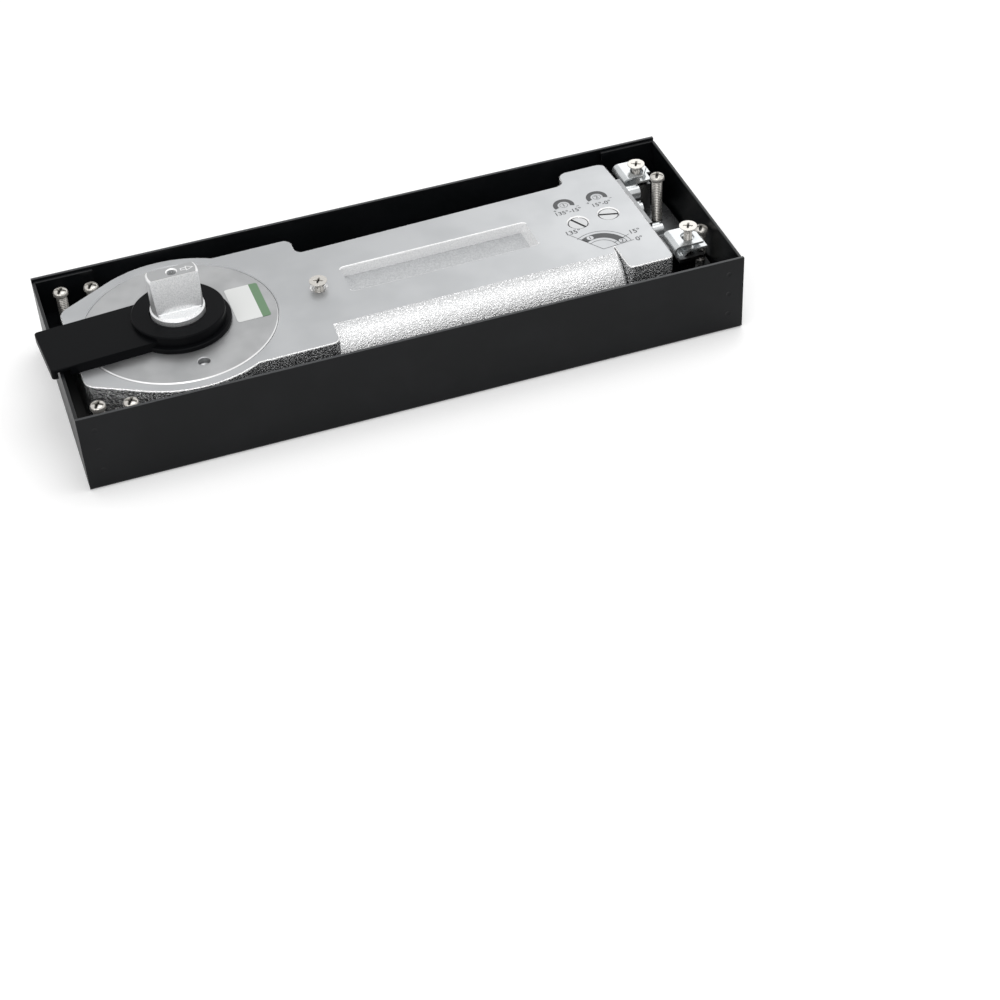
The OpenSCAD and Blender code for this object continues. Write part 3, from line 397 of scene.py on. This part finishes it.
# Where each of its faces lies: the milled top, the well for a nameplate, the seat under the round
# cover, the broken edge of the top, the rims of the two valve holes, the steep sides, and the
# crown of the spring cylinder.
seat_r = 46 * mm
well_x, well_y = (70 * mm, 172 * mm), (-9.5 * mm, 12 * mm)
valves_x, valves_y = 184 * mm, (-8 * mm, 9 * mm)
level = cast.nz.step(0.97, 0.995)
top = cast.z.step(top_z - 0.15 * mm, top_z - 0.05 * mm) * level
well = (cast.y.step(well_y[0], well_y[0] + 1 * mm) * cast.y.step(well_y[1], well_y[1] - 1 * mm) *
        cast.x.step(well_x[0], well_x[0] + 5 * mm) * cast.x.step(well_x[1], well_x[1] - 4 * mm))
seat = (cast.x * cast.x + cast.y * cast.y).root().step(seat_r, seat_r - 1 * mm)
brow = cast.z.step(top_z - 0.7 * mm, top_z - 0.55 * mm) * (1 - cast.nz.step(0.86, 0.93))
drilled = (cast.x.step(valves_x, valves_x + 0.5 * mm) *
           cast.y.step(valves_y[0], valves_y[0] + 0.5 * mm) *
           cast.y.step(valves_y[1], valves_y[1] - 0.5 * mm))
wall = cast.nz.step(0.45, 0.2)
shaded_crown = cast.nz.step(0.8, 0.98)
smooth = top.at_least(seat)

sprayed = cast.mix(haze.step(0.3, 0.7), (0.43, 0.44, 0.45), (0.48, 0.49, 0.50))
# Painted light on the spring cylinder: its crown, facing up, is painted darker as painted shade, and
# its front and sides lighter as a painted highlight. The mould grain runs through both.
barrel_lit_and_shaded = cast.mix(shaded_crown, cast.mix(skin, (0.74, 0.745, 0.75), (0.98, 0.98, 0.985)),
                  cast.mix(skin, (0.40, 0.405, 0.41), (0.68, 0.685, 0.69)))
# The steep sides are painted dark as painted shade, with white specks of the grain as painted
# glints.
moulded_with_painted_light = cast.mix(wall, barrel_lit_and_shaded, cast.mix(glint, (0.12, 0.125, 0.13), (0.96, 0.965, 0.97)))
# In the nameplate well, level faces are painted light and sloped faces dark: painted light and shade
# on one surface, with the grain through both.
well_lit_and_shaded = cast.mix(level, cast.mix(skin, (0.84, 0.845, 0.85), (1.0, 1.0, 1.0)),
                 cast.mix(skin, (0.44, 0.45, 0.46), (0.56, 0.57, 0.58)))
# The broken edge of the top and the valve-hole rims are painted near white: a painted highlight.
painted_edge_highlight = cast.mix(skin.at_least(drilled), (0.78, 0.78, 0.78), (0.97, 0.97, 0.97))
rough_faces = cast.mix(brow, cast.mix(well, moulded_with_painted_light, well_lit_and_shaded), painted_edge_highlight)
grain = (skin * (1 - smooth) * (1 - 0.5 * well) * (1 - 0.6 * brow) * (1 - drilled) *
         (0.8 + 0.2 * wall))
cast.set(Base_Color=cast.mix(smooth, rough_faces, sprayed),
         Metallic=0.88 - 0.13 * top - 0.6 * well * (1 - top),
         Roughness=0.22 + 0.14 * top + 0.12 * well * (1 - top),
         Normal=cast.bump(grain + ripple * top * 0.06, 0.25 * mm, 0.9))
broken_edges("body_casting", "closer", cast, 0.6 * mm)


# ---------- speed dials ----------
# Setting marks silk-screened in grey ink on the top face: two swept arcs for the valves, and a
# fan that shows over which angles of the door each valve works.

ink = Finish("screen_ink", (0.055, 0.057, 0.06), 0.45)
ink.set(Roughness=0.4 + 0.15 * ink.noise(0.8 * mm))
ink_z, ink_t = top_z + 0.005 * mm, 0.02 * mm
capital = 0.69


def bar(stations):
    """Closed bar through stations (number, 4 corners, xyz), with both ends capped."""
    points, faces = grid(stations, around=True)
    last = len(points) - 4
    return points, faces + [[0, 1, 2, 3], [last + 3, last + 2, last + 1, last]]


def arc(centre, inner, outer, start, stop, lift=0.0):
    """Printed band between two radii (mm) about centre, from one angle to another (degrees). A
    whole turn joins up with itself, and an inner radius of 0 gives a disc."""
    whole = stop - start == 360
    turns = np.radians(np.linspace(start, stop, (stop - start) // 4, endpoint=not whole))
    ring = np.stack([np.cos(turns), np.sin(turns)], -1)
    z0, z1 = ink_z + lift, ink_z + lift + ink_t
    corners = [(inner, z0), (outer, z0), (outer, z1), (inner, z1)]
    band = np.stack([np.concatenate([(np.array(centre) + r * ring) * mm,
                                     np.full((len(turns), 1), z)], -1) for r, z in corners], 1)
    return grid(band, around=inner > 0, along=True) if whole else bar(band)


def stroke(a, b, width):
    """Printed straight line from a to b (mm), that wide (mm)."""
    a, b = np.array(a, float), np.array(b, float)
    side = np.array([a[1] - b[1], b[0] - a[0]]) / np.linalg.norm(b - a) * width / 2
    z0, z1 = ink_z, ink_z + ink_t
    return bar(np.array([[[*(p - side) * mm, z0], [*(p + side) * mm, z0],
                          [*(p + side) * mm, z1], [*(p - side) * mm, z1]] for p in (a, b)]))


def figures(text, centre, height, lift=0.0):
    """Printed figures, that high (mm), centred on a point of the top face (mm). A figure of the
    built-in typeface is capital units high."""
    curve = bpy.data.curves.new("figures", "FONT")
    curve.body = text
    curve.align_x, curve.align_y = "CENTER", "CENTER"
    curve.extrude, curve.offset = 0.5, 0.012
    holder = bpy.data.objects.new("figures", curve)
    scene.collection.objects.link(holder)
    flat = bpy.data.meshes.new_from_object(holder.evaluated_get(
        bpy.context.evaluated_depsgraph_get()))
    bpy.data.objects.remove(holder)
    points = np.array([point.co[:] for point in flat.vertices])
    points[:, :2] *= height * mm / capital
    points[:, :2] += np.array(centre) * mm
    points[:, 2] = ink_z + lift + (points[:, 2] > 0) * ink_t
    return points, [list(face.vertices) for face in flat.polygons]


def polar(centre, radius, angle):
    """Point (mm) at a radius and an angle (degrees) about centre."""
    return (centre[0] + radius * math.cos(math.radians(angle)),
            centre[1] + radius * math.sin(math.radians(angle)))


marks, spots, numbers = [], [], []
for middle_x, name, span in ((189.8, "1", "135°-15°"), (206.5, "2", "15°-0°")):
    dial, sign_y, hair = (middle_x, 16.3), 13.3, 0.28
    marks += [arc(dial, 2.9, 5.1, -22, 202), arc(dial, 1.75, 1.95, 0, 360),
              figures(name, dial, 2.3), figures(span, (middle_x, 10.4), 2.6),
              stroke((middle_x - 6.3, sign_y), (middle_x - 4.9, sign_y), hair),
              stroke((middle_x - 5.6, sign_y - 0.7), (middle_x - 5.6, sign_y + 0.7), hair),
              stroke((middle_x + 5.1, sign_y), (middle_x + 6.5, sign_y), hair)]
apex = (193.6, -24.0)
marks += [arc(apex, 14.2, 14.5, 5, 125), arc(apex, 9.0, 12.7, 8, 123), arc(apex, 7.1, 7.4, 5, 125)]
for start, stop, angle in ((0, 20, 122), (6.7, 16.4, 23), (0, 15.6, 5)):
    marks.append(stroke(polar(apex, start, angle), polar(apex, stop, angle), 0.3))
for text, reach, angle in (("135°", 19.6, 114), ("15°", 19.9, 22), ("0°", 18.4, 4)):
    marks.append(figures(text, polar(apex, reach, angle), 2.9))
for angle, name in ((103, "1"), (15, "2")):
    spot = polar(apex, 10.8, angle)
    spots.append(arc(spot, 0.0, 1.75, 0, 360, 0.03 * mm))
    numbers += [figures(name, spot, 2.2, 0.06 * mm), arc(spot, 1.65, 1.85, 0, 360, 0.06 * mm)]
for name, parts, look in (("dial_print", marks + numbers, ink), ("dial_spots", spots, cast)):
    piece = make(name, parts)
    piece.data.materials.append(look.material)
    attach(piece, "closer")


# ---------- head cover and plugs ----------
# Round steel cover, screwed into the head by its two spanner holes, and the steel plugs of the
# bores. All are turned, and the cover is faced in the lathe, so its marks run round the spindle.

turned = Finish("turned_cover", (0.3, 0.305, 0.31), 0.36, 0.9)
radius = (turned.x * turned.x + turned.y * turned.y).root()
feed = 0.5 * mm
rings = (radius * (2 * math.pi / feed)).sine() * 0.5 + 0.5
soft = turned.noise(14 * mm, 2.0)
grit = turned.noise(0.5 * mm, 2.0)
rim_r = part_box("head_cover")[1].x
# A painted highlight: a bright ring on the cover's chamfered rim.
chamfer_highlight = radius.step(rim_r - 0.55 * mm, rim_r - 0.4 * mm) * turned.z.step(0, 30 * mm)
face = turned.mix(soft.step(0.3, 0.7), (0.38, 0.385, 0.39), (0.45, 0.455, 0.46))
turned.set(Roughness=0.32 + 0.1 * soft,
           Normal=turned.bump(rings * 0.5 + grit * 0.5, 0.008 * mm, 0.5),
           Base_Color=turned.mix(chamfer_highlight, face, (0.85, 0.85, 0.85)))
turned.wear("spring_cap", "damper_cap", "gallery_plug")
broken_edges("head_cover", "closer", turned, 0.4 * mm)


# ---------- blank label ----------
# Coated paper label with a plain green band along one long edge. It is stuck flat on the cover
# and has nothing written on it.

white = (0.76, 0.77, 0.76)
paper = Finish("label_paper", white, 0.35)
edge_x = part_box("blank_label")[1].x
band = paper.x.step(edge_x - 4.0 * mm, edge_x - 3.9 * mm)
fibre = paper.noise(0.9 * mm, 3.0)
paper.set(Base_Color=paper.mix(band, white, (0.13, 0.24, 0.13)),
          Roughness=0.3 + 0.12 * fibre, Normal=paper.bump(fibre, 0.01 * mm, 0.3))
paper.wear("blank_label")


# ---------- spring, cam, damper and bearings ----------
# Inside the casting: blanked carriage plates, hardened cam, ground pins and rollers, bronze
# bushes, an oil-blackened spring, and nitrile seals.

def plated(name, color, roughness, grain=1.5 * mm):
    """Metal finish, slightly cloudy, with a faint relief."""
    made = Finish(name, color, roughness, 1.0)
    haze = made.noise(grain, 3.0)
    dull = tuple(0.8 * c for c in color)
    made.set(Roughness=roughness + 0.12 * haze, Normal=made.bump(haze, 0.012 * mm, 0.35),
             Base_Color=made.mix(haze.step(0.3, 0.7), dull, color))
    return made


ground_steel = plated("ground_steel", (0.60, 0.61, 0.62), 0.2)
ground_steel.wear("lower_bearing_ring", "lower_bearing_balls", "lower_bearing_cone", "cam_key",
                  "roller_pins", "spring_rod", "damper_piston", "check_ball", "drive_roller",
                  "return_roller")
blanked = plated("blanked_steel", (0.42, 0.43, 0.44), 0.34)
blanked.wear("carriage_top_plate", "carriage_bottom_plate", "crosshead", "carriage_rivets", "cam")
bronze = plated("sintered_bronze", (0.62, 0.42, 0.2), 0.35)
bronze.wear("upper_bush", "check_seat")
seal = Finish("nitrile_rubber", (0.012, 0.012, 0.013), 0.6)
seal.set(Normal=seal.bump(seal.noise(0.4 * mm), 0.01 * mm, 0.4))
seal.wear("cover_seal", "shaft_seal", "spring_cap_seal", "damper_cap_seal", "piston_ring",
          "closing_valve_seal", "latching_valve_seal")


# ---------- main spring ----------
# Cold-coiled wire with closed ends, blackened in oil. It stands against its cap, at cap_x. The
# rod's flange presses it together as the carriage slides, but here it keeps its rest length.

coiled = plated("spring_steel", (0.12, 0.125, 0.13), 0.4)
low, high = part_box("main_spring")
wire_r = 1.8 * mm
mean_r = (high.y - low.y) / 2 - wire_r
turns = 18


def coil(steps=40, sides=14):
    """Wire of circular section along a helix about the x axis: at turn t the section's middle is
    (x(t), r cos t, r sin t), where x(t) rises by one wire per turn over the end turns and evenly
    between them. Both ends are capped."""
    t = np.linspace(0, turns, turns * steps + 1)[:, None]
    close = 1.02 * 2 * wire_r
    first, last = low.x + wire_r, high.x - wire_r
    x = np.interp(t, [0, 1, turns - 1, turns], [first, first + close, last - close, last])
    around = np.linspace(0, 2 * np.pi, sides, endpoint=False)[None, :]
    r = mean_r + wire_r * np.cos(around)
    turn = 2 * np.pi * t
    points, faces = grid(np.stack([x + wire_r * np.sin(around),
                                   (low.y + high.y) / 2 + r * np.cos(turn),
                                   (low.z + high.z) / 2 + r * np.sin(turn)], -1), around=True)
    count = len(points) - sides
    return points, faces + [list(range(sides)), list(range(count + sides - 1, count - 1, -1))]


spring = make("main_spring_coiled", [coil()])
spring.data.materials.append(coiled.material)
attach(spring, "closer")
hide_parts("main_spring")
slide = next(joint for joint in frame["joints"] if joint["name"] == "carriage_slide")
cap_x = 205 * mm
1 - slide["range_m"][1] / (cap_x - low.x)
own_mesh(spring)


# ---------- speed valves ----------
# Slotted steel regulating screws, one for closing and one for latching, sunk in the top face.
# Their heads are faced, and their chamfered rims are painted dark as painted shade.

valve = plated("valve_steel", (0.42, 0.43, 0.44), 0.3, 0.8 * mm)
face_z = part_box("closing_valve_screw")[1].z
# Painted shade: the chamfered rim of each head is painted near black.
bevel_shade = valve.z.step(face_z - 0.5 * mm, face_z - 0.4 * mm) * (1 - valve.nz.step(0.9, 0.97))
valve.set(Base_Color=valve.mix(bevel_shade, (0.46, 0.465, 0.47), (0.07, 0.07, 0.072)))
broken_edges("closing_valve_screw", "closing_valve", valve, 0.4 * mm)
broken_edges("latching_valve_screw", "latching_valve", valve, 0.4 * mm)


# ---------- bracket screws and cover clips ----------
# Folded clips in bright zinc, each with its lower leg on a tab of the bracket. The bracket is
# bent from plain steel, and zinc-plated cheese-head screws hold it to the body.

zinc = plated("zinc_plate", (0.64, 0.66, 0.67), 0.16, 9 * mm)
zinc.set(Metallic=0.75)
zinc.wear("bracket_screws")
bracket = plated("bracket_steel", (0.24, 0.245, 0.25), 0.22, 6 * mm)
bracket.wear("end_bracket")
for node in ("cover_clip_rear", "cover_clip_front"):
    broken_edges(node, "closer", zinc, 0.3 * mm, steps=3)


# ---------- cover, corner and jack screws ----------
# Cold-headed machine screws with rolled threads and cross recesses, nickel plated: countersunk
# ones that stand ready for the cover plate, and pan heads in the corners and as jack screws.

silvery = (0.60, 0.58, 0.545)
nickel = plated("nickel_plate", silvery, 0.22)
# Painted shade: points deep in a cross recess, in the thread roots and at the tip are painted darker
# by their depth attribute.
depth = nickel.node("ShaderNodeAttribute", {"attribute_name": "depth"}, {}, "Fac")
nickel.set(Metallic=0.65,
           Base_Color=nickel.mix(depth.step(0.1, 0.9), silvery, (0.05, 0.048, 0.045)))
sides, cross_turn = 64, 0.5


def screw(at, seat, tip, head, thread_r, pitch, cross):
    """Machine screw with its axis upright, in mm: rows run from the middle of the head out to its
    rim, under the head and down the shank to the tip. head is (radius, height) rows from the
    seat. cross is (reach, depth, half width): it sinks the head where either arm's width holds,
    and is turned by cross_turn radians.
    The thread swings the shank's radius by a triangle wave of height and angle, which grows
    over its first two turns. The shank ends in a short cone."""
    turn = np.linspace(0, 2 * np.pi, sides, endpoint=False)[None, :]
    head = np.array(head, float)
    reach, depth, half = cross
    flank, root, end = 0.22, 0.45 * pitch, 0.6
    r = np.repeat(head[:, :1], sides, 1)
    z = np.repeat(head[:, 1:], sides, 1)
    x, y = r * np.cos(turn + cross_turn), r * np.sin(turn + cross_turn)
    near, far = np.minimum(abs(x), abs(y)), np.maximum(abs(x), abs(y))
    arm = np.clip((half * (1.25 - 0.5 * far / reach) - near) / flank + 0.5, 0, 1)
    sunk = arm * np.clip((reach - far) / 0.5 + 0.5, 0, 1)
    z = z - depth * sunk * (r < reach + 0.6)
    rows = np.arange(0, (seat - tip) - end, pitch / 6)[:, None]
    wave = abs(2 * ((rows / pitch + turn / (2 * np.pi)) % 1) - 1)
    wave = wave * np.clip(rows / (2 * pitch), 0, 1)
    end_r = np.array([[thread_r - 0.7], [0.0]]) + 0 * turn
    r = np.concatenate([r, thread_r - root * wave, end_r])
    z = np.concatenate([z, -rows + 0 * turn, tip - seat + 0 * end_r])
    place = np.stack([at[0] + r * np.cos(turn), at[1] + r * np.sin(turn), seat + z], -1)
    # Depth for the painted shade: the recess, the thread roots, and the whole tip.
    depth = np.concatenate([sunk, 0.75 * wave, 1 + 0 * end_r])
    return (*grid(place * mm, around=True), depth.ravel())


def dome(radius, height, rows=22):
    """Rows (radius, height) of a pan head, a flattened half oval."""
    t = np.linspace(0, np.pi / 2, rows)
    return np.stack([radius * np.sin(t) ** 0.85, height * np.cos(t) ** 0.55], -1)


def sink(radius, thread_r, rows=20):
    """Rows (radius, height) of a countersunk head, flat on top, with a narrow upright rim."""
    flat = np.stack([np.linspace(0, radius - 0.12, rows), np.zeros(rows)], -1)
    cone = np.array([[radius, -0.15], [radius, -0.35], [thread_r - 0.1, -0.35 - radius + thread_r]])
    return np.concatenate([flat, cone])


def solids(node):
    """Middle (x, y) and lowest and highest z of each separate screw in a CAD node, in mm. Points
    nearer than apart to a screw's first point belong to that screw."""
    points = np.array([point.co[:] for point in frame["nodes"][node].data.vertices]) * 1000
    found, apart = [], 10
    for point in points[np.argsort(points[:, 0] + 0.01 * points[:, 1])]:
        home = [group for group in found if np.hypot(*(group[0][:2] - point[:2])) < apart]
        if home:
            home[0].append(point)
        else:
            found.append([point])
    boxes = [(np.min(group, 0), np.max(group, 0)) for group in found]
    return [((low + high)[:2] / 2, low[2], high[2]) for low, high in boxes]


def fit_screws(node, parts):
    """Puts threaded screws in the place of a CAD node's plain ones."""
    piece = make(node + "_threaded", parts, 40.0)
    piece.data.materials.append(nickel.material)
    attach(piece, "closer")
    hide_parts(node)


head_height = 2.52
pan = dome(3.5, head_height)
for node, slot in (("jack_screws", "zinc_screws"), ("corner_screws", "nickel_screws")):
    fit_screws(node, [screw(at, seat=high - head_height, tip=low, head=pan, thread_r=2.55,
                                  pitch=0.95, cross=(2.6, 1.7, 0.55))
                            for at, low, high in solids(node)])
flat = sink(4.15, 2.0)
fit_screws("cover_screws",
           [screw(at, seat=high, tip=low, head=flat, thread_r=2.0, pitch=0.7, cross=(2.0, 1.3, 0.38))
            for at, low, high in solids("cover_screws")])


# ---------- spindle ----------
# Turned from bright bar, with a drive block milled to two tapered flats. An arrow cut in its
# top shows which way the arm points with the door shut.

bright = Finish("bright_spindle", (0.5, 0.505, 0.51), 0.3, 0.7)
block_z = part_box("spindle")[1].z
up = bright.nz.step(0.9, 0.99) * bright.z.step(block_z - 0.2 * mm, block_z - 0.1 * mm)

# The arrow's line, in mm: it is cut where the distance to the outline of tail and head is near 0.
x, y = bright.x * 1000, abs(bright.y * 1000)
tail_x, neck_x, tip_x, tail_half, slope = 4.2, 6.6, 9.6, 0.7, 1.9
tail = (abs(x - (tail_x + neck_x) / 2) - (neck_x - tail_x) / 2).at_least(y - tail_half)
arrowhead = (neck_x - x).at_least((x + slope * y - tip_x) * (1 / math.hypot(1, slope)))
arrow_cut_and_highlight = abs(tail.at_most(arrowhead)).step(0.2, 0.1) * up

brush = bright.noise(5 * mm, 3.0, 0.6, (1, 1, 25))
speck = bright.noise(0.5 * mm, 2.0)
# Painted light: the block's sides are painted far lighter than its top, as lit faces.
side = bright.mix(speck.step(0.35, 0.65), (0.74, 0.75, 0.755), (0.94, 0.945, 0.95))
# Painted highlight: the broken top edges of the block and the cut arrow are painted near white.
edge = bright.z.step(block_z - 0.55 * mm, block_z - 0.42 * mm) * (1 - bright.nz.step(0.9, 0.97))
face = bright.mix(up, side, (0.40, 0.405, 0.41))
bright.set(Base_Color=bright.mix(arrow_cut_and_highlight.at_least(edge), face, (0.92, 0.92, 0.92)),
           Roughness=0.28 + 0.14 * brush,
           Normal=bright.bump(brush * 0.15 - arrow_cut_and_highlight + speck * 0.1, 0.06 * mm, 0.5))
broken_edges("spindle", "spindle", bright, 0.4 * mm)


# ---------- slot filler ----------
# Black moulded collar that lies on the cover round the spindle, with a tongue across the end
# wall. Its surface is fine satin from the tool.

plastic = Finish("black_moulding", (0.004, 0.0043, 0.005), 0.34)
satin = plastic.noise(0.35 * mm, 2.0)
plastic.set(Roughness=0.26 + 0.12 * plastic.noise(20 * mm), Specular_IOR_Level=0.045,
            Normal=plastic.bump(satin, 0.008 * mm, 0.4))
broken_edges("slot_filler", "closer", plastic, 0.6 * mm)
